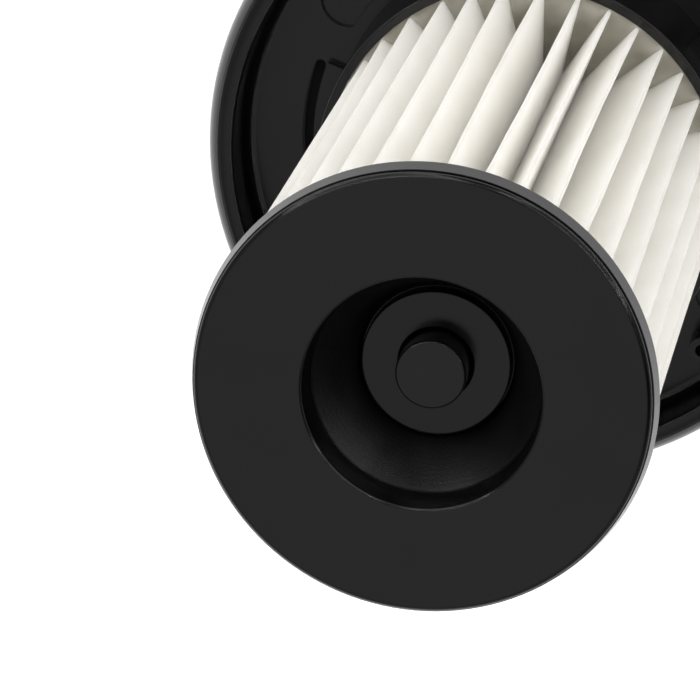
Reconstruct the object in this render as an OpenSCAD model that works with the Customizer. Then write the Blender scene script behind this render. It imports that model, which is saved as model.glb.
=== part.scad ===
// Pleated cartridge filter, standing on its rear seal with the end cap on top.
// Everything turns about the Z axis; depths are measured down from the cap's rolled edge.

/* [Overall] */
// Height from the seal's resting face to the top of the end cap
total_h = 158.5; // [150:0.5:175]
// Radial play between pieces that are pushed together
slip = 0.1; // [0.05:0.01:0.15]
// Wall thickness of the moulded cap
cap_wall = 1.8; // [1.4:0.1:2]

/* [End cap] */
// Thickness of the skirt at its rear edge
skirt_wall = 1.35; // [1.2:0.05:2]
// Growth of the skirt's radius from the groove to its rear edge
skirt_flare = 0.65; // [0.3:0.05:0.9]
// Height of the cap at its skirt
skirt_h = 3.8; // [3.4:0.1:6]
// Radius of the rolled edge of the face
face_roll = 1.5; // [1:0.1:1.6]
// Depth by which the face dips from its rolled edge to the mouth
face_dish = 0.5; // [0:0.1:0.6]
// Width of the groove behind the rolled edge
groove_w = 0.5; // [0.3:0.05:0.6]
// Depth of the groove behind the rolled edge
groove_depth = 0.6; // [0.3:0.05:0.8]
// Thickness of the cap's face plate
plate_t = 2; // [1.9:0.1:2.4]
// Diameter of the recess at its mouth
mouth_d = 40.9; // [39:0.1:44]
// Radius of the rounded edge round the mouth
mouth_roll = 0.7; // [0.3:0.1:0.9]
// Inset of the crease, where the funnel starts, from the mouth
crease_in = 0.45; // [0.2:0.05:1]
// Depth of the crease
crease_depth = 6.8; // [5:0.1:9]
// Diameter of the boss in the recess
boss_d = 26; // [24:0.1:28]
// Depth of the boss's top
boss_depth = 17.1; // [14:0.1:19]
// Height of the boss above the foot of the funnel
boss_rise = 3; // [2:0.1:6]
// Height by which the funnel bulges out of the straight line between its ends
funnel_bow = 0.5; // [0.2:0.1:0.8]
// Radius of the boss's outer edge
boss_edge = 0.3; // [0.1:0.05:0.5]

/* [Centre pin] */
// Diameter of the pin
pin_d = 12.3; // [10:0.1:13]
// Depth of the pin's face
pin_depth = 10.9; // [8:0.1:14]
// Radius of the pin's edge
pin_edge = 0.5; // [0.1:0.1:1]
// Gap between the pin and its hole, all round
pin_gap = 0.25; // [0.2:0.05:0.6]
// Radius of the hole's edge at the boss's top
hole_edge = 0.4; // [0.2:0.1:1]
// Depth of the pin's socket below the boss's top
socket_depth = 9; // [6:0.5:14]
// Diameter of the tail that holds the pin
tail_d = 6; // [4:0.1:7]
// Width by which the tail's closed head stands proud
head_lip = 1.2; // [0.6:0.1:1.5]
// Thickness of the tail's closed head
head_t = 1.2; // [0.8:0.1:2]

/* [Pleats] */
// Diameter over the pleat tips
pleat_d = 76.8; // [70:0.1:84]
// Number of pleats
pleat_n = 37; // [30:1:42]
// Thickness of the paper
paper_t = 0.4; // [0.3:0.05:0.45]
// Radius of the paper's middle line in a fold
fold_r = 0.25; // [0.24:0.01:0.6]
// Gap between the pleats and the support cage
pleat_gap = 0.4; // [0.2:0.05:1]
// Direction of the first pleat
pleat_turn = 26.7; // [0:0.1:40]

/* [Potting] */
// Distance that the front glue bed stays inside the skirt's edge
front_short = 0.3; // [0.1:0.1:0.6]
// Thickness of glue between the pleats and the cap
front_under = 0.5; // [0.3:0.1:0.7]
// Thickness of the rear glue bed
rear_bed_h = 8; // [6:0.5:12]
// Thickness of glue between the pleats and the shelf
rear_under = 1.5; // [0.5:0.1:3]

/* [Support cage] */
// Wall thickness of the cage
core_wall = 1.25; // [1:0.05:1.4]
// Number of windows round the cage
window_n = 12; // [8:1:16]
// Number of rows of windows
window_rows = 9; // [5:1:11]
// Width of the bars between the windows
bar_w = 2.6; // [2:0.1:4]
// Height of the rings between the windows
ring_h = 3; // [2:0.1:5]

/* [Flange] */
// Height of the collar's ring top above the resting face
collar_top = 29.9; // [27:0.1:36]
// Thickness of the collar's wall at its ring top
collar_wall = 1.85; // [1.6:0.05:2.6]
// Radius of the collar's outer edge at its ring top
collar_edge = 0.35; // [0.1:0.05:0.6]
// Growth of the collar's radius from its top to its foot
collar_draft = 0.5; // [0:0.1:1]
// Gap between the pleat tips and the walls round them
collar_gap = 0.25; // [0.1:0.05:0.6]
// Thickness of the shelf that carries the pack
shelf_t = 2.4; // [2:0.1:4]
// Width by which the shelf stands inside the cage
outlet_lip = 1; // [0.5:0.1:3]
// Wall thickness of the outlet's spout
spout_wall = 2; // [1.5:0.1:3]
// Length of the spout behind the shelf
spout_l = 6; // [3:0.5:8]
// Number of gussets under the shelf
gusset_n = 8; // [4:1:12]
// Thickness of the ribs and gussets
rib_t = 1.6; // [1.2:0.1:2.4]
// Height of the floor's front above the resting face
floor_top = 6.9; // [6.4:0.1:8]
// Thickness of the floor
floor_t = 2.4; // [2:0.1:2.6]
// Diameter of the rim at its widest
rim_d = 129.6; // [122:0.2:140]
// Width of the rim at its foot
rim_w = 6.2; // [5.8:0.1:8]
// Inset of the rim's crest from its foot
crest_in = 1.1; // [0.8:0.1:1.6]
// Height of the rim's crest above the resting face
crest_top = 19.2; // [17:0.1:22]
// Height at which the rim is widest
rim_side_top = 12.2; // [9:0.1:13]
// Radius of the fillet between the floor and the rim
rim_fillet = 2; // [1:0.1:3]
// Wall thickness of the rim
rim_wall = 2; // [1.8:0.1:2.2]
// Wall thickness of the rim at its crest
crest_wall = 2.8; // [2:0.1:4]
// Number of ribs behind the floor in each repeat
rear_rib_n = 2; // [1:1:3]
// Angle between neighbouring ribs behind the floor
rear_rib_step = 14; // [10:1:18]
// Distance that the ribs stay in front of the rim's rear edge
rear_rib_short = 0.5; // [0.2:0.1:1]
// Number of times that slots, pockets and bosses repeat
turns = 4; // [2:1:4]

/* [Floor details] */
// Distance of the curved slots from the collar's foot
slot_off = 3.9; // [3:0.1:5]
// Width of the curved slots
slot_w = 2.2; // [1.5:0.1:3]
// Direction in which the first slot starts
slot_start = 160.9; // [120:0.1:200]
// Angle that a slot takes up
slot_span = 55; // [40:1:58]
// Height of the pads between the slots and the collar
pad_h = 2.1; // [1:0.1:3]
// Gap between a pad and its slot
pad_gap = 0.3; // [0.1:0.1:0.6]
// Angle by which a pad passes its slot's ends
pad_extra = 2; // [1.5:0.1:3]
// Distance of the pockets' flat sides from the collar's foot
pocket_off = 2.6; // [1:0.1:4]
// Diameter of the round of the shallow pockets
pocket_d = 11; // [9:0.1:11.4]
// Width that a pocket's flat side cuts off its round
pocket_cut = 1.8; // [1:0.1:3]
// Angle between a pocket's middle and the slot that follows it
pocket_before = 17.9; // [16.5:0.1:18]
// Depth of the pockets
pocket_depth = 1; // [0.5:0.1:1.4]
// Distance of the screw bosses' middles from the rim's foot
screw_off = 7.1; // [5:0.1:8]
// Angle between a screw boss and the slot that follows it
screw_before = 29.1; // [28:0.1:31]
// Diameter of the screw bosses
screw_boss_d = 5.4; // [4.6:0.1:6]
// Height of the screw bosses above the floor
screw_boss_h = 6.8; // [4:0.1:8]
// Diameter of the pilot holes
pilot_d = 2.5; // [2:0.1:3]
// Thickness left under the pilot holes
pilot_web = 1.2; // [0.6:0.1:1.6]

/* [Seal] */
// Height by which the seal stands proud of the rim
seal_proud = 2; // [1:0.1:2.5]
// Width by which the seal's foot covers each wall of the rim
seal_cover = 0.9; // [0.5:0.1:1.3]
// Width lost from each side of the seal's foot towards its tip
seal_taper = 1; // [0.3:0.1:1.4]
// Depth of the seal's tongue in the rim
tongue_depth = 5; // [3:0.5:7]

/* [Hidden] */
$fn = 96;
// Numbers of chords in a fine edge, a rolled edge, a fold of the paper, the funnel, the rim's shoulder
// and a slot
fine_steps = 3;
edge_steps = 6;
fold_steps = 4;
funnel_steps = 12;
shoulder_steps = 12;
slot_steps = 24;
// Number of sides of a screw boss and of its hole
boss_sides = 48;
// Length by which a cutter passes its face
over = 1;

// Cap, as radii and as depths below its rolled edge
pleat_r = pleat_d / 2;
cup_in_r = pleat_r + collar_gap;
skirt_r = cup_in_r + skirt_wall;
face_r = skirt_r - skirt_flare;
// Angle above the horizontal at which the rolled edge ends in the groove
roll_end = 35;
groove_top = face_roll * (1 - sin(roll_end));
groove_bottom = groove_top + groove_w;
mouth_r = mouth_d / 2;
crease_r = mouth_r - crease_in;
boss_r = boss_d / 2;
hole_r = pin_d / 2 + pin_gap;
foot_depth = boss_depth + boss_rise;
foot_gap = 0.3;
foot_r = boss_r + foot_gap;
funnel_run = crease_r - foot_r;
funnel_drop = foot_depth - crease_depth;
funnel_l = sqrt(funnel_run * funnel_run + funnel_drop * funnel_drop);
// The funnel's back lies one wall behind the line between the ends of its front
back_out = cap_wall * funnel_drop / funnel_l;
back_down = cap_wall * funnel_run / funnel_l;
back_in_r = foot_r + back_out;
back_depth = foot_depth + back_down;

// Support cage, which carries the recess's wall and takes the funnel's back in its bore
core_r = mouth_r + cap_wall;
core_in_r = core_r - core_wall;
seat_r = core_in_r - slip;
seat_depth = back_depth - (seat_r - back_in_r) * funnel_drop / funnel_run;
socket_bottom = boss_depth + socket_depth;
tail_r = tail_d / 2;
tail_hole_r = tail_r + slip;

// Pleats
pleat_in_r = core_r + pleat_gap;
pitch = 360 / pleat_n;
tip_r = pleat_r - paper_t / 2 - fold_r;
valley_r = pleat_in_r + paper_t / 2 + fold_r;

// Collar, shelf and floor
collar_out_r = cup_in_r + collar_wall;
collar_foot_r = collar_out_r + collar_draft;
// Radius in the middle of the collar's wall, where ribs and floor grow out of it
web_r = cup_in_r + collar_wall / 2;
shelf_top = collar_top - rear_bed_h;
shelf_under = shelf_top - shelf_t;
outlet_r = core_in_r - outlet_lip;
spout_r = outlet_r + spout_wall;
floor_under = floor_top - floor_t;
// Heights by which ribs and screw bosses are sunk into the floor
rib_sink = floor_t / 3;
boss_sink = floor_t / 4;

// Glue beds
front_bed_h = skirt_h - plate_t - front_short;
front_bed_z = total_h - plate_t - front_bed_h;
front_bite = front_bed_h - front_under;
rear_bite = rear_bed_h - rear_under;
pleat_top = front_bed_z + front_bite;
pleat_bottom = collar_top - rear_bite;

// Rim and seal
rim_r = rim_d / 2;
rim_foot_r = rim_r - rim_w;
crest_r = rim_foot_r + crest_in;
channel_in_r = rim_foot_r + rim_wall;
channel_out_r = rim_r - rim_wall;
channel_top = crest_top - crest_wall;
// Lean of the rim's inner wall, from its fillet to its crest
inner_lean = 0.4;
crest_roll = crest_in - inner_lean;

// Floor details
slot_in_r = collar_foot_r + slot_off;
pocket_in_r = collar_foot_r + pocket_off;
pocket_mid_r = pocket_in_r + pocket_d / 2 - pocket_cut;
pocket_turn = slot_start - pocket_before;
screw_r = rim_foot_r - screw_off;
screw_turn = slot_start - screw_before;
pilot_bottom = floor_under + pilot_web;
pilot_h = floor_top + screw_boss_h - pilot_bottom;
// The rear ribs stand midway between the slots
rear_rib_mid = slot_start + slot_span / 2 - 180 / turns;

function at(r, a) = [r * cos(a), r * sin(a)];

// Points of an arc about a centre, from angle a to angle b
function arc(c, r, a, b, steps) =
    [for (i = [0:steps]) c + at(r, a + (b - a) * i / steps)];

// Points of a shallow bow from a to b that bulges to its left
function bow(a, b, rise, steps) =
    let (way = b - a, left = [-way.y, way.x] / norm(way))
    [for (i = [0:steps]) let (t = i / steps) a + t * way + 4 * t * (1 - t) * rise * left];

// Points of a quarter of an ellipse, from its top to its side
function quarter(c, rx, ry, steps) =
    [for (i = [1:steps]) c + [rx * sin(90 * i / steps), ry * cos(90 * i / steps)]];

// Outline of a curved slot with round ends, from angle a to angle b
function slot_outline(inner, w, a, b) =
    let (mid = inner + w / 2, end = 180 / edge_steps)
    concat(
        arc([0, 0], inner + w, a, b, slot_steps),
        arc(at(mid, b), w / 2, b + end, b + 180 - end, edge_steps - 2),
        arc([0, 0], inner, b, a, slot_steps),
        arc(at(mid, a), w / 2, a + 180 + end, a + 360 - end, edge_steps - 2)
    );

function turned(points, a) =
    [for (p = points) [p.x * cos(a) - p.y * sin(a), p.x * sin(a) + p.y * cos(a)]];

// One pleat of a line that lies s outside the paper's middle line: a tip arc
// about one centre and a valley arc about the next, joined by a tangent flank.
function pleat(s) =
    let (
        tip = [tip_r, 0],
        valley = at(valley_r, pitch / 2),
        way = valley - tip,
        lean = atan2(way.y, way.x) - 90 + asin(2 * fold_r / norm(way)),
        turn_in = lean + 180 - pitch / 2
    )
    concat(
        arc(tip, fold_r + s, -lean, lean, fold_steps),
        arc(valley, fold_r - s, pitch / 2 + turn_in, pitch / 2 + 360 - turn_in, fold_steps)
    );

function pleat_line(s) =
    let (one = pleat(s))
    [for (k = [0:pleat_n - 1]) each turned(one, pleat_turn + k * pitch)];

module paper_section() {
    difference() {
        polygon(pleat_line(paper_t / 2));
        polygon(pleat_line(-paper_t / 2));
    }
}

module ring(inner, outer, h) {
    difference() {
        cylinder(r = outer, h = h);
        translate([0, 0, -over]) cylinder(r = inner, h = h + 2 * over);
    }
}

// A curved bar between two radii, from angle a to angle b
module curved_bar(inner, outer, a, b, h) {
    rotate([0, 0, a]) rotate_extrude(angle = b - a) translate([inner, 0]) square([outer - inner, h]);
}

module end_cap() {
    socket = [
        [tail_hole_r, -socket_bottom - cap_wall],
        [tail_hole_r, -socket_bottom],
        [hole_r, -socket_bottom]
    ];
    boss = concat(
        arc([hole_r + hole_edge, -boss_depth - hole_edge], hole_edge, 180, 90, edge_steps),
        arc([boss_r - boss_edge, -boss_depth - boss_edge], boss_edge, 90, 0, fine_steps),
        [[boss_r, -foot_depth]]
    );
    funnel = bow([foot_r, -foot_depth], [crease_r, -crease_depth], funnel_bow, funnel_steps);
    face = concat(
        arc([mouth_r + mouth_roll, -face_dish - mouth_roll], mouth_roll, 180, 90, edge_steps),
        arc([face_r - face_roll, -face_roll], face_roll, 90, roll_end, edge_steps)
    );
    skirt = [
        [face_r - groove_depth, -groove_top],
        [face_r - groove_depth, -groove_bottom],
        [face_r, -groove_bottom],
        [skirt_r, -skirt_h],
        [cup_in_r, -skirt_h],
        [cup_in_r, -plate_t]
    ];
    back = [
        [core_r, -plate_t],
        [core_r, -seat_depth],
        [seat_r, -seat_depth],
        [back_in_r, -back_depth],
        [boss_r - cap_wall, -back_depth],
        [boss_r - cap_wall, -boss_depth - cap_wall],
        [hole_r + cap_wall, -boss_depth - cap_wall],
        [hole_r + cap_wall, -socket_bottom - cap_wall]
    ];
    color([0.16, 0.16, 0.17])
        translate([0, 0, total_h])
            rotate_extrude() polygon(concat(socket, boss, funnel, face, skirt, back));
}

module centre_pin() {
    r = pin_d / 2;
    head_top = -socket_bottom - cap_wall;
    color([0.18, 0.18, 0.19])
        translate([0, 0, total_h])
            rotate_extrude() polygon(concat(
                [[0, -pin_depth]],
                arc([r - pin_edge, -pin_depth - pin_edge], pin_edge, 90, 0, edge_steps),
                [
                    [r, -socket_bottom],
                    [tail_r, -socket_bottom],
                    [tail_r, head_top],
                    [tail_r + head_lip, head_top],
                    [tail_r + head_lip, head_top - head_t],
                    [0, head_top - head_t]
                ]
            ));
}

module pleated_media() {
    color([0.94, 0.93, 0.9])
        translate([0, 0, pleat_bottom]) linear_extrude(pleat_top - pleat_bottom) paper_section();
}

// A glue bed with the pleats' ends sunk into its open side
module glue_bed(h, bite) {
    ring(core_r, cup_in_r, h - bite);
    translate([0, 0, h - bite]) linear_extrude(bite) difference() {
        circle(r = cup_in_r);
        circle(r = core_r);
        paper_section();
    }
}

module front_potting() {
    color([0.62, 0.6, 0.53])
        translate([0, 0, front_bed_z + front_bed_h]) mirror([0, 0, 1])
            glue_bed(front_bed_h, front_bite);
}

module rear_potting() {
    color([0.62, 0.6, 0.53])
        translate([0, 0, shelf_top]) glue_bed(rear_bed_h, rear_bite);
}

module inner_core() {
    core_h = total_h - seat_depth - shelf_top;
    row_h = (core_h - ring_h) / window_rows;
    window_a = 360 / window_n - bar_w / core_r * 180 / PI;
    color([0.2, 0.2, 0.21])
        translate([0, 0, shelf_top]) difference() {
            ring(core_in_r, core_r, core_h);
            for (row = [0:window_rows - 1], k = [0:window_n - 1])
                translate([0, 0, ring_h + row * row_h])
                    curved_bar(
                        core_in_r - over, core_r + over,
                        k * 360 / window_n, k * 360 / window_n + window_a, row_h - ring_h
                    );
        }
}

module flange_collar() {
    rotate_extrude() polygon(concat(
        [[cup_in_r, collar_top]],
        arc([collar_out_r - collar_edge, collar_top - collar_edge], collar_edge, 90, 0, fine_steps),
        [
            [collar_foot_r, floor_top],
            [collar_foot_r, seal_proud],
            [cup_in_r, seal_proud],
            [cup_in_r, shelf_under],
            [spout_r, shelf_under],
            [spout_r, shelf_under - spout_l],
            [outlet_r, shelf_under - spout_l],
            [outlet_r, shelf_top],
            [cup_in_r, shelf_top]
        ]
    ));
}

module flange_rim() {
    rotate_extrude() polygon(concat(
        [[web_r, floor_under], [web_r, floor_top]],
        arc([rim_foot_r - rim_fillet, floor_top + rim_fillet], rim_fillet, 270, 360, edge_steps),
        [[rim_foot_r + inner_lean, crest_top - crest_roll]],
        arc([crest_r, crest_top - crest_roll], crest_roll, 180, 90, edge_steps),
        quarter([crest_r, rim_side_top], rim_r - crest_r, crest_top - rim_side_top, shoulder_steps),
        [
            [rim_r, seal_proud],
            [channel_out_r, seal_proud],
            [channel_out_r, rim_side_top],
            [(channel_in_r + crest_r + rim_wall) / 2, channel_top],
            [channel_in_r, channel_top],
            [channel_in_r, seal_proud],
            [rim_foot_r, seal_proud],
            [rim_foot_r, floor_under]
        ]
    ));
}

// A flat rib in the XZ plane, centred on it
module rib(outline) {
    rotate([90, 0, 0]) translate([0, 0, -rib_t / 2]) linear_extrude(rib_t) polygon(outline);
}

module gusset() {
    spout_mid = (outlet_r + spout_r) / 2;
    shelf_mid = shelf_under + shelf_t / 2;
    rib([
        [spout_mid, shelf_mid],
        [web_r, shelf_mid],
        [web_r, floor_top],
        [cup_in_r - rib_t, floor_top],
        [spout_mid, shelf_under - spout_l + rib_t]
    ]);
}

module rear_rib() {
    rim_mid = rim_foot_r + rim_wall / 2;
    rib([
        [web_r, seal_proud + rear_rib_short],
        [rim_mid, seal_proud + rear_rib_short],
        [rim_mid, floor_under + rib_sink],
        [web_r, floor_under + rib_sink]
    ]);
}

module pad() {
    curved_bar(
        web_r, slot_in_r - pad_gap,
        slot_start - pad_extra, slot_start + slot_span + pad_extra, pad_h
    );
}

// The room of a shallow pocket: a round with one flat side, which follows the collar
module pocket() {
    difference() {
        translate([pocket_mid_r, 0, floor_top - pocket_depth])
            cylinder(d = pocket_d, h = pocket_depth + over);
        translate([0, 0, floor_under]) cylinder(r = pocket_in_r, h = floor_t + 2 * over);
    }
}

module flange() {
    color([0.13, 0.13, 0.15])
        difference() {
            union() {
                flange_collar();
                flange_rim();
                for (k = [0:gusset_n - 1]) rotate([0, 0, k * 360 / gusset_n]) gusset();
                for (k = [0:turns - 1]) rotate([0, 0, k * 360 / turns]) {
                    translate([0, 0, floor_top]) pad();
                    for (i = [0:rear_rib_n - 1])
                        rotate([0, 0, rear_rib_mid + (i - (rear_rib_n - 1) / 2) * rear_rib_step])
                            rear_rib();
                    rotate([0, 0, screw_turn]) translate([screw_r, 0, floor_top - boss_sink])
                        cylinder(d = screw_boss_d, h = boss_sink + screw_boss_h, $fn = boss_sides);
                }
            }
            for (k = [0:turns - 1]) rotate([0, 0, k * 360 / turns]) {
                translate([0, 0, floor_under - over])
                    linear_extrude(floor_t + pad_h + 2 * over)
                        polygon(slot_outline(slot_in_r, slot_w, slot_start, slot_start + slot_span));
                rotate([0, 0, pocket_turn]) pocket();
                rotate([0, 0, screw_turn]) translate([screw_r, 0, pilot_bottom])
                    cylinder(d = pilot_d, h = pilot_h + over, $fn = boss_sides);
            }
        }
}

module seal_ring() {
    in_r = channel_in_r - seal_cover;
    out_r = channel_out_r + seal_cover;
    color([0.08, 0.08, 0.08])
        rotate_extrude() polygon([
            [in_r + seal_taper, 0],
            [out_r - seal_taper, 0],
            [out_r, seal_proud],
            [channel_out_r - slip, seal_proud],
            [channel_out_r - slip, seal_proud + tongue_depth],
            [channel_in_r + slip, seal_proud + tongue_depth],
            [channel_in_r + slip, seal_proud],
            [in_r, seal_proud]
        ]);
}

end_cap();
centre_pin();
pleated_media();
front_potting();
rear_potting();
inner_core();
flange();
seal_ring();
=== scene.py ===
"""Looks of the pleated vacuum filter in a plain white studio: paper, glue, plastic and rubber."""
import math

import bpy
import numpy as np
from mathutils import Matrix, Vector


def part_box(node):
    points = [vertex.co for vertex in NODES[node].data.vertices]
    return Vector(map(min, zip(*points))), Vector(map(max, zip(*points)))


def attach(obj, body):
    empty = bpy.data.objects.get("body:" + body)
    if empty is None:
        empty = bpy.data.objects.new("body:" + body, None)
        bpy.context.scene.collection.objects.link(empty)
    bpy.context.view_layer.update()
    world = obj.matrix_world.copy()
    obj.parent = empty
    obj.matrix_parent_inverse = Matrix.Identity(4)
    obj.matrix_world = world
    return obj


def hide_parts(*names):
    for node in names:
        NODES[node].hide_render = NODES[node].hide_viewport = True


MM = 0.001

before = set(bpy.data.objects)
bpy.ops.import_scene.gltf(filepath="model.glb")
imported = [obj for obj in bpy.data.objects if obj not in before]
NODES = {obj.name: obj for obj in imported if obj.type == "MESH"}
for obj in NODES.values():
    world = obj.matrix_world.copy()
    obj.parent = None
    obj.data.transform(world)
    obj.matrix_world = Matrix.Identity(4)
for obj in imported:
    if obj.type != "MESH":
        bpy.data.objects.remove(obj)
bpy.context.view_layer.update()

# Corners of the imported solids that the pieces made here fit, in millimetres
CAP_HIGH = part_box("end_cap")[1] / MM
PACK_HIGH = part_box("pleated_media")[1] / MM
CORE_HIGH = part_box("inner_core")[1] / MM
BED_LOW, BED_HIGH = (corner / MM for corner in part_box("rear_potting"))

# The end cap's recess: the middle of its mouth's rolled edge, its crease and its boss
MOUTH_Z = CAP_HIGH.z - 0.5
MOUTH_R = 20.45
CREASE_Z = CAP_HIGH.z - 6.8
BOSS_R = 13.0

# The pleats: outer and inner radius, number, angle of the first tip, thickness and fold of the paper
PLEAT_R = 38.4
CORE_R = CORE_HIGH.x
PLEAT_IN_R = CORE_R + 0.4
PLEAT_N = 37
PLEAT_TURN = 26.7
PAPER_T = 0.4
FOLD_R = 0.25

# Slow waves of the hand-gathered pleats: size in degrees, number round the axis, phase
GATHER_WAVES = ((1.22, 3, 1.44), (0.63, 8, 1.86), (0.55, 10, -3.0))

# Radii round the axis: inside the first the floor carries a painted shadow under the filter, which is
# gone by the second; and where it lets light through
FLOOR_PAINTED_SHADOW_R, FLOOR_LIGHT_R = 0.058, 0.064
FLOOR_CLEAR_R, FLOOR_SOLID_R = 0.063, 0.0635
FLOOR_HALF = 6.0

# Lamps, by their angle round the axis; both lean by LAMP_TILT and stand LAMP_DISTANCE from the pack
LAMP_TURNS = {"right": 40, "top": 119}
LAMP_TILT = 52
LAMP_DISTANCE = 1.0
LAMP_TARGET = Vector((0, 0, 0.12))

# Side of the grey card in the world, and the tilt of the direction that flat faces mirror to the camera
CARD_TURN = 242
MIRROR_TILT = 20.9

# The camera stands as in the photograph: LENS_PX is its focal length and the middle of the recess's
# mouth lies at FACE_PX, in pixels of the 700 by 700 frame, FACE_DISTANCE metres away; the axis leans
# by LEAN away from it, towards image direction AWAY.
FRAME_PX = 700
LENS_PX = 4708.0
FACE_PX = (421.05, 394.95)
FACE_DISTANCE = 0.79232
LEAN = math.radians(20.887)
AWAY = math.radians(62.30)
SENSOR_MM = 36.0


# Node trees


class Tree:
    """Adds nodes to a material's or world's tree and links them."""

    def __init__(self, owner):
        owner.use_nodes = True
        self.tree = owner.node_tree
        self.tree.nodes.clear()

    def add(self, kind, inputs=None, **settings):
        node = self.tree.nodes.new(kind)
        for key, value in settings.items():
            setattr(node, key, value)
        for key, value in (inputs or {}).items():
            self.put(node.inputs[key], value)
        return node

    def put(self, socket, value):
        if isinstance(value, bpy.types.NodeSocket):
            self.tree.links.new(value, socket)
        else:
            socket.default_value = value

    def math(self, operation, a, b):
        return self.add("ShaderNodeMath", {0: a, 1: b}, operation=operation).outputs[0]

    def dot(self, a, b):
        node = self.add("ShaderNodeVectorMath", {0: a, 1: b}, operation="DOT_PRODUCT")
        return node.outputs["Value"]

    def ramp(self, value, low, high, to_low=0.0, to_high=1.0):
        """A smooth step from to_low to to_high, while the value goes from low to high."""
        node = self.add(
            "ShaderNodeMapRange",
            {
                "Value": value, "From Min": low, "From Max": high,
                "To Min": to_low, "To Max": to_high,
            },
            interpolation_type="SMOOTHSTEP",
        )
        return node.outputs["Result"]

    def mix(self, factor, a, b):
        """Mix of two colours."""
        node = self.add("ShaderNodeMix", data_type="RGBA")
        for index, value in ((0, factor), (6, a), (7, b)):
            self.put(node.inputs[index], value)
        return node.outputs[2]

    def blend(self, factor, a, b):
        """Mix of two numbers."""
        node = self.add("ShaderNodeMix", data_type="FLOAT")
        for index, value in ((0, factor), (2, a), (3, b)):
            self.put(node.inputs[index], value)
        return node.outputs[0]

    def noise(self, where, scale, detail=2.0, rough=0.5):
        node = self.add(
            "ShaderNodeTexNoise",
            {"Vector": where, "Scale": scale, "Detail": detail, "Roughness": rough},
        )
        return node.outputs["Fac"]

    def bump(self, height, strength, distance, normal=None):
        inputs = {"Height": height, "Strength": strength, "Distance": distance}
        if normal is not None:
            inputs["Normal"] = normal
        return self.add("ShaderNodeBump", inputs).outputs["Normal"]

    def place(self):
        """Position in the object's own frame, in metres."""
        return self.add("ShaderNodeTexCoord").outputs["Object"]

    def output(self, surface, kind="ShaderNodeOutputMaterial"):
        self.add(kind, {"Surface": surface.outputs[0]})


def new_material(name):
    mat = bpy.data.materials.new(name)
    return mat, Tree(mat)


def grey(value):
    return (value, value, value, 1.0)


def radius_and_height(t, where):
    """Distance from the filter's axis and height above the floor, in metres."""
    part = t.add("ShaderNodeSeparateXYZ", {0: where})
    flat = t.add("ShaderNodeCombineXYZ", {0: part.outputs[0], 1: part.outputs[1]})
    length = t.add("ShaderNodeVectorMath", {0: flat.outputs[0]}, operation="LENGTH")
    return length.outputs["Value"], part.outputs[2]


# Materials


def funnel_mask(t, where):
    """1 on the end cap's funnel, between the crease and the boss, and 0 elsewhere."""
    r, z = radius_and_height(t, where)
    inside = t.ramp(r, MOUTH_R * MM, (MOUTH_R - 0.5) * MM)
    below = t.ramp(z, CREASE_Z * MM, (CREASE_Z - 0.6) * MM)
    outside = t.ramp(r, (BOSS_R - 0.2) * MM, BOSS_R * MM)
    return t.math("MULTIPLY", t.math("MULTIPLY", inside, below), outside)


def moulded_plastic(
    name, colour, rough, grain=0.25, edge=0.15, tint=(1, 1, 1), specular=0.5, funnel=None
):
    """Satin black plastic: spark-eroded grain, faint flow marks and edges rounded by edge millimetres.

    funnel is the change in roughness and the strength of the coarse grain on the end cap's funnel.
    """

    def shade(share):
        return tuple(colour * share * k for k in tint) + (1.0,)

    mat, t = new_material(name)
    where = t.place()
    clouds = t.noise(where, scale=22.0, detail=3.0, rough=0.55)
    flow = t.noise(where, scale=90.0)
    fine = t.noise(where, scale=5200.0, rough=0.6)
    coarse = t.noise(where, scale=2800.0, detail=3.0, rough=0.7)
    base = t.mix(t.ramp(clouds, 0.35, 0.65), shade(0.8), shade(1.2))
    base = t.mix(t.math("MULTIPLY", t.ramp(fine, 0.62, 0.74), 0.25), base, shade(2.2))
    roughness = t.math("ADD", t.ramp(flow, 0.3, 0.7, -0.03, 0.03), rough)
    rounded = t.add("ShaderNodeBevel", {"Radius": edge * MM}, samples=6).outputs["Normal"]
    normal = t.bump(fine, grain, 0.03 * MM, rounded)
    if funnel:
        more_rough, more_grain = funnel
        mask = funnel_mask(t, where)
        strength = t.math("ADD", t.math("MULTIPLY", mask, more_grain), grain * 0.3)
        normal = t.bump(coarse, strength, 0.08 * MM, normal)
        roughness = t.math("ADD", roughness, t.math("MULTIPLY", mask, more_rough))
    else:
        normal = t.bump(coarse, grain * 0.35, 0.05 * MM, normal)
    t.output(t.add(
        "ShaderNodeBsdfPrincipled",
        {
            "Base Color": base, "Roughness": roughness, "Normal": normal,
            "IOR": 1.5, "Specular IOR Level": specular,
        },
    ))
    return mat


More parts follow.
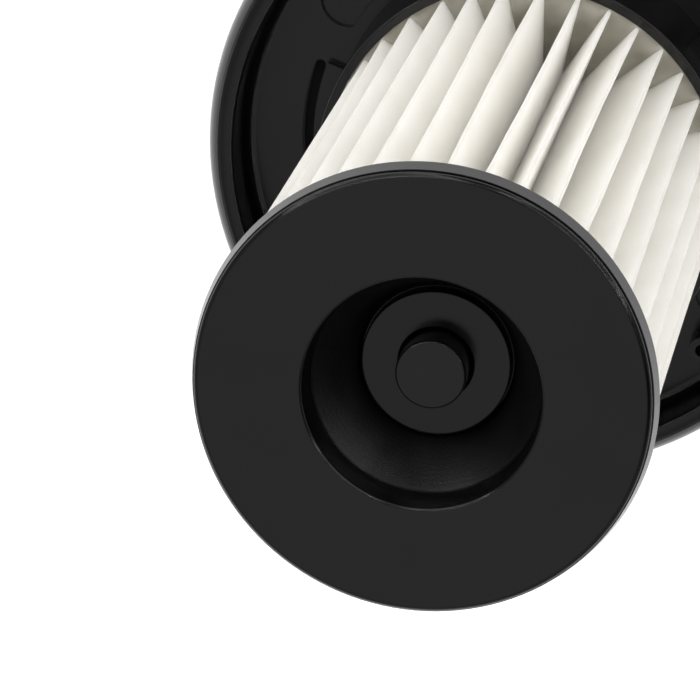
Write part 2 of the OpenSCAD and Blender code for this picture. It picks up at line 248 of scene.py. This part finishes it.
def filter_paper(name):
    """Felted white filter paper: soft fibres, faint cross lines, and light that seeps through it."""
    mat, t = new_material(name)
    where = t.place()
    stretched = t.add("ShaderNodeMapping", {"Vector": where, "Scale": (1.0, 1.0, 0.35)})
    fibres = t.noise(stretched.outputs[0], scale=1400.0, detail=4.0, rough=0.65)
    clouds = t.noise(where, scale=60.0, detail=3.0)
    lines = t.add(
        "ShaderNodeTexWave",
        {"Vector": where, "Scale": 330.0, "Distortion": 1.2, "Detail": 2.0, "Detail Scale": 2.0},
        wave_type="BANDS", bands_direction="Z", wave_profile="SIN",
    )
    base = t.mix(t.ramp(clouds, 0.3, 0.7), (0.955, 0.946, 0.922, 1), (0.978, 0.970, 0.948, 1))
    base = t.mix(t.ramp(fibres, 0.55, 0.8, 0.0, 0.12), base, (0.85, 0.84, 0.81, 1))
    normal = t.bump(fibres, 0.35, 0.08 * MM)
    normal = t.bump(lines.outputs["Fac"], 0.12, 0.08 * MM, normal)
    normal = t.bump(clouds, 0.25, 0.6 * MM, normal)
    sheet = t.add(
        "ShaderNodeBsdfPrincipled",
        {
            "Base Color": base, "Roughness": 0.88, "Normal": normal,
            "Specular IOR Level": 0.25, "Sheen Weight": 0.05, "Sheen Roughness": 0.5,
        },
    )
    through = t.add("ShaderNodeBsdfTranslucent", {"Color": base, "Normal": normal})
    see_through = 0.75
    t.output(t.add(
        "ShaderNodeMixShader", {0: see_through, 1: sheet.outputs[0], 2: through.outputs[0]}
    ))
    return mat


def cast_glue(name):
    """Grey-beige hot-melt glue with slow waves, small pits and a waxy gloss."""
    mat, t = new_material(name)
    where = t.place()
    waves = t.noise(where, scale=120.0)
    pits = t.noise(where, scale=900.0, rough=0.6)
    t.output(t.add(
        "ShaderNodeBsdfPrincipled",
        {
            "Base Color": t.mix(
                t.ramp(waves, 0.3, 0.7), (0.25, 0.235, 0.19, 1), (0.35, 0.33, 0.275, 1)
            ),
            "Roughness": t.ramp(pits, 0.3, 0.7, 0.38, 0.55),
            "Normal": t.bump(pits, 0.25, 0.1 * MM, t.bump(waves, 0.5, 0.6 * MM)),
        },
    ))
    return mat


def rubber(name):
    """Soft black rubber with a dull, slightly dusty skin."""
    mat, t = new_material(name)
    where = t.place()
    dust = t.noise(where, scale=160.0, detail=4.0, rough=0.6)
    skin = t.noise(where, scale=2600.0)
    t.output(t.add(
        "ShaderNodeBsdfPrincipled",
        {
            "Base Color": t.mix(t.ramp(dust, 0.4, 0.75), grey(0.012), grey(0.022)),
            "Roughness": t.ramp(dust, 0.3, 0.7, 0.6, 0.75),
            "Normal": t.bump(skin, 0.3, 0.06 * MM),
        },
    ))
    return mat


# Meshes


def make_object(name, points, faces, material, smooth=True):
    mesh = bpy.data.meshes.new(name)
    mesh.from_pydata([tuple(p) for p in points], [], faces)
    mesh.materials.append(material)
    mesh.polygons.foreach_set("use_smooth", [smooth] * len(mesh.polygons))
    mesh.update()
    piece = bpy.data.objects.new(name, mesh)
    bpy.context.scene.collection.objects.link(piece)
    return piece


def grid_faces(rings, around, flip=False, close=False):
    """Quads between rings with as many points each; close joins the last ring to the first."""
    faces = []
    for j in range(rings if close else rings - 1):
        here, there = j * around, (j + 1) % rings * around
        for i in range(around):
            k = (i + 1) % around
            quad = (here + i, here + k, there + k, there + i)
            faces.append(quad[::-1] if flip else quad)
    return faces


def on_circle(angles):
    """Points of the unit circle, one row each."""
    return np.stack([np.cos(angles), np.sin(angles)], 1)


# The pleated paper and the glue it stands in


def pleat_outline(offset, fold_steps=4, flank_steps=7):
    """The pleats' loop, offset from the paper's middle line, as radii in millimetres and angles."""
    pitch = 2 * math.pi / PLEAT_N
    tip = np.array([PLEAT_R - PAPER_T / 2 - FOLD_R, 0.0])
    valley_r = PLEAT_IN_R + PAPER_T / 2 + FOLD_R
    valley = valley_r * np.array([math.cos(pitch / 2), math.sin(pitch / 2)])
    way = valley - tip
    cross = math.asin(2 * FOLD_R / np.linalg.norm(way))
    lean = math.atan2(way[1], way[0]) - math.pi / 2 + cross
    turn_in = lean + math.pi - pitch / 2

    def arc(centre, radius, a, b):
        return centre + radius * on_circle(np.linspace(a, b, fold_steps + 1))

    tip_arc = arc(tip, FOLD_R + offset, -lean, lean)
    valley_arc = arc(
        valley, FOLD_R - offset, pitch / 2 + turn_in, pitch / 2 + 2 * math.pi - turn_in
    )
    share = np.linspace(0, 1, flank_steps + 1)[1:-1, None]
    down = tip_arc[-1] + (valley_arc[0] - tip_arc[-1]) * share
    c, s = math.cos(pitch), math.sin(pitch)
    next_first = np.array([[c, -s], [s, c]]) @ tip_arc[0]
    up = valley_arc[-1] + (next_first - valley_arc[-1]) * share
    one = np.concatenate([tip_arc, down, valley_arc, up])
    r = np.tile(np.hypot(one[:, 0], one[:, 1]), PLEAT_N)
    a = np.arctan2(one[:, 1], one[:, 0])
    a = np.concatenate([a + k * pitch for k in range(PLEAT_N)]) + math.radians(PLEAT_TURN)
    return r, a


def looseness(r):
    """0 at the pleats' valleys and 1 at their tips."""
    return np.clip((r - PLEAT_IN_R) / (PLEAT_R - PLEAT_IN_R), 0, 1)


def pleat_wander(r, a, h):
    """Angle by which the pleats wander; h runs from 0 at the glue to 1 at the cap."""
    slow = sum(size * np.sin(waves * a + phase) for size, waves, phase in GATHER_WAVES)
    fade = (1 - h) * (1 + 0.6 * h * np.sin(5 * a))
    bow = 0.5 * np.sin(13 * a + 0.8) * math.sin(math.pi * h)
    ripple = 0.08 * np.sin(31 * a + 9 * h) * math.sin(5 * math.pi * h)
    return np.radians(looseness(r) * (slow * fade + bow + ripple))


def pleated_paper(material):
    """One open sheet on the outer face of the folded strip, from inside the glue to inside the cap."""
    low, high = BED_HIGH.z - 1.4, PACK_HIGH.z - 0.2
    most_pull = 0.25
    rings = 44
    points = []
    r, a = pleat_outline(PAPER_T / 2)
    around = len(r)
    for j in range(rings):
        h = j / (rings - 1)
        turn = a + pleat_wander(r, a, h)
        pull = most_pull * math.sin(math.pi * h) * (0.5 + 0.5 * np.sin(17 * a))
        flat = (r - pull * looseness(r))[:, None] * on_circle(turn)
        z = np.full((around, 1), low + (high - low) * h)
        points.append(np.concatenate([flat, z], 1))
    faces = grid_faces(rings, around)
    piece = make_object("pleated_paper", np.concatenate(points) * MM, faces, material)
    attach(piece, "root")
    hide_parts("pleated_media")


def glue_bed(material):
    """The rear glue bed: a ring whose top creeps up the paper that stands in it."""
    sag, creep, creep_reach = 0.75, 0.9, 0.5
    edge_creep, edge_reach = 0.3, 0.6
    around, rings = PLEAT_N * 20, 26
    r_paper, a_paper = pleat_outline(0.0, flank_steps=20)
    a_paper = a_paper + pleat_wander(r_paper, a_paper, 0.0)
    paper = r_paper[:, None] * on_circle(a_paper)
    angles = np.linspace(0, 2 * math.pi, around, endpoint=False)
    circle = on_circle(angles)
    points = []
    for r in np.linspace(BED_HIGH.x, CORE_R, rings):
        ring = r * circle
        gap = np.min(np.linalg.norm(ring[:, None] - paper[None], axis=2), axis=1)
        wave = 0.12 * np.sin(7 * angles + 1.3) + 0.1 * np.sin(19 * angles + r)
        edge = edge_creep * math.exp((r - BED_HIGH.x) / edge_reach)
        z = BED_HIGH.z - sag + wave + edge + creep * np.exp(-gap / creep_reach)
        points.append(np.concatenate([ring, np.minimum(z, BED_HIGH.z)[:, None]], 1))
    for r in (CORE_R, BED_HIGH.x):
        points.append(np.concatenate([r * circle, np.full((around, 1), BED_LOW.z)], 1))
    faces = grid_faces(rings + 2, around, flip=True, close=True)
    piece = make_object("glue_bed", np.concatenate(points) * MM, faces, material)
    piece.data.set_sharp_from_angle(angle=math.radians(50))
    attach(piece, "root")
    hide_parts("rear_potting")


# Studio


def direction(turn, tilt):
    """Unit vector at an angle round the axis from +X and a tilt away from the axis, in degrees."""
    a, b = math.radians(turn), math.radians(tilt)
    return Vector((math.cos(a) * math.sin(b), math.sin(a) * math.sin(b), math.cos(b)))


def area_lamp(name, turn, size, radiance, glossy):
    """A soft square lamp that looks at the pack and lights either its matt or its glossy surfaces."""
    way = direction(turn, LAMP_TILT)
    lamp = bpy.data.lights.new(name, "AREA")
    lamp.shape = "SQUARE"
    lamp.size = size
    lamp.energy = radiance * math.pi * size * size
    holder = bpy.data.objects.new(name, lamp)
    holder.location = LAMP_TARGET + way * LAMP_DISTANCE
    holder.rotation_mode = "QUATERNION"
    holder.rotation_quaternion = way.to_track_quat("Z", "Y")
    holder.visible_camera = False
    holder.visible_diffuse = not glossy
    holder.visible_glossy = glossy
    bpy.context.scene.collection.objects.link(holder)


def white_world():
    """White at the horizon, a grey card away from the camera, dark round the camera and underneath.

    That is what the glossy plastic mirrors; diffuse rays see an even white, and the camera sees white.
    """
    world = bpy.data.worlds.new("studio")
    bpy.context.scene.world = world
    t = Tree(world)
    way = t.add("ShaderNodeTexCoord").outputs["Generated"]
    height = t.add("ShaderNodeSeparateXYZ", {0: way}).outputs[2]
    side = t.dot(way, direction(CARD_TURN, 90))
    mirrored = t.dot(way, direction(CARD_TURN, MIRROR_TILT))
    card = t.math(
        "MAXIMUM", t.ramp(side, -0.05, 0.3, 0.03, 0.27), t.ramp(mirrored, 0.72, 0.9, 0.0, 0.48)
    )
    bright = t.math(
        "MAXIMUM", t.ramp(side, 0.3, -0.3, 0.35, 1.0), t.ramp(side, 0.6, 0.9, 0.0, 0.9)
    )
    horizon = t.math("MULTIPLY", t.ramp(height, 0.42, 0.02), bright)
    under = t.ramp(height, -0.92, -0.72, 0.05, 1.0)
    level = t.math("MULTIPLY", t.math("MAXIMUM", card, horizon), under)
    light = t.add("ShaderNodeLightPath").outputs
    level = t.blend(light["Is Diffuse Ray"], level, 0.85)
    level = t.blend(light["Is Camera Ray"], level, 1.0)
    back = t.add("ShaderNodeBackground", {"Color": grey(1), "Strength": level})
    t.output(back, "ShaderNodeOutputWorld")


def white_floor():
    """A white floor that keeps the filter's shadow, and carries a painted shadow under the filter,
    where its glow fades out and its colour drops to near black.

    Seen from below it is clear, and under the filter it lets light through, so that the underside
    shows too.
    """
    mat, t = new_material("floor_white")
    r, _ = radius_and_height(t, t.place())
    plain = t.add("ShaderNodeBsdfDiffuse", {"Color": grey(0.8)})
    # painted shadow: the floor's glow fades to nothing under the filter
    strength = t.ramp(r, FLOOR_PAINTED_SHADOW_R, FLOOR_LIGHT_R, 0.0, 0.62)
    glow = t.add("ShaderNodeEmission", {"Color": grey(1), "Strength": strength})
    # painted shadow: the floor's colour drops from 0.6 to 0.03 under the filter
    shade = t.add(
        "ShaderNodeBsdfDiffuse", {"Color": t.ramp(r, FLOOR_PAINTED_SHADOW_R, FLOOR_LIGHT_R, 0.03, 0.6)}
    )
    both = t.add("ShaderNodeAddShader", {0: glow.outputs[0], 1: shade.outputs[0]})
    light = t.add("ShaderNodeLightPath").outputs
    seen = t.math("MAXIMUM", light["Is Camera Ray"], light["Is Glossy Ray"])
    seen = t.math("MAXIMUM", seen, light["Is Transmission Ray"])
    mixed = t.add("ShaderNodeMixShader", {0: seen, 1: plain.outputs[0], 2: both.outputs[0]})
    behind = t.add("ShaderNodeNewGeometry").outputs["Backfacing"]
    clear = t.blend(light["Is Camera Ray"], t.ramp(r, FLOOR_SOLID_R, FLOOR_CLEAR_R), behind)
    through = t.add("ShaderNodeBsdfTransparent")
    t.output(t.add("ShaderNodeMixShader", {0: clear, 1: mixed.outputs[0], 2: through.outputs[0]}))
    corners = [(x * FLOOR_HALF, y * FLOOR_HALF, 0) for x, y in ((-1, -1), (1, -1), (1, 1), (-1, 1))]
    floor = make_object("studio_floor", corners, [(0, 1, 2, 3)], mat, smooth=False)


def photo_camera():
    tilt, height = math.sin(LEAN), math.cos(LEAN)
    axis = Vector((tilt * math.cos(AWAY), -tilt * math.sin(AWAY), height))
    right = Vector((1, 0, 0))
    u = (right - axis * right.dot(axis)).normalized()
    to_object = Matrix((u, u.cross(axis), -axis))
    off_centre = ((px - FRAME_PX / 2) / LENS_PX for px in FACE_PX)
    face = FACE_DISTANCE * Vector((*off_centre, 1.0))
    place = Vector((0, 0, MOUTH_Z * MM)) - to_object @ face
    sides = [to_object @ Vector(s) for s in ((1, 0, 0), (0, -1, 0), (0, 0, -1))]
    lens = bpy.data.cameras.new("photo_camera")
    lens.sensor_width = SENSOR_MM
    lens.lens = SENSOR_MM * LENS_PX / FRAME_PX
    lens.clip_start, lens.clip_end = 0.05, 50.0
    camera = bpy.data.objects.new("photo_camera", lens)
    camera.matrix_world = Matrix.Translation(place) @ Matrix(sides).transposed().to_4x4()
    bpy.context.scene.collection.objects.link(camera)
    bpy.context.scene.camera = camera


def dress(node, material):
    mesh = NODES[node].data
    mesh.materials.clear()
    mesh.materials.append(material)


def build():
    scene = bpy.context.scene
    scene.view_settings.view_transform = "Standard"
    photo_camera()
    white_world()
    white_floor()
    for name, turn in LAMP_TURNS.items():
        area_lamp("key_" + name, turn, size=0.7, radiance=2.2, glossy=False)
        area_lamp("gloss_" + name, turn, size=0.75, radiance=9.5, glossy=True)

    glue = cast_glue("glue_beige")
    dress("end_cap", moulded_plastic("cap_black", 0.002, rough=0.16, funnel=(0.15, 0.8)))
    dress("centre_pin", moulded_plastic("pin_black", 0.003, rough=0.16))
    dress("flange", moulded_plastic(
        "flange_black", 0.003, rough=0.18, grain=0.18, tint=(0.93, 0.96, 1.15), specular=0.46
    ))
    dress("inner_core", moulded_plastic("cage_black", 0.004, rough=0.45, grain=0.2))
    dress("front_potting", glue)
    dress("seal_ring", rubber("seal_black"))
    pleated_paper(filter_paper("paper_white"))
    glue_bed(glue)


build()
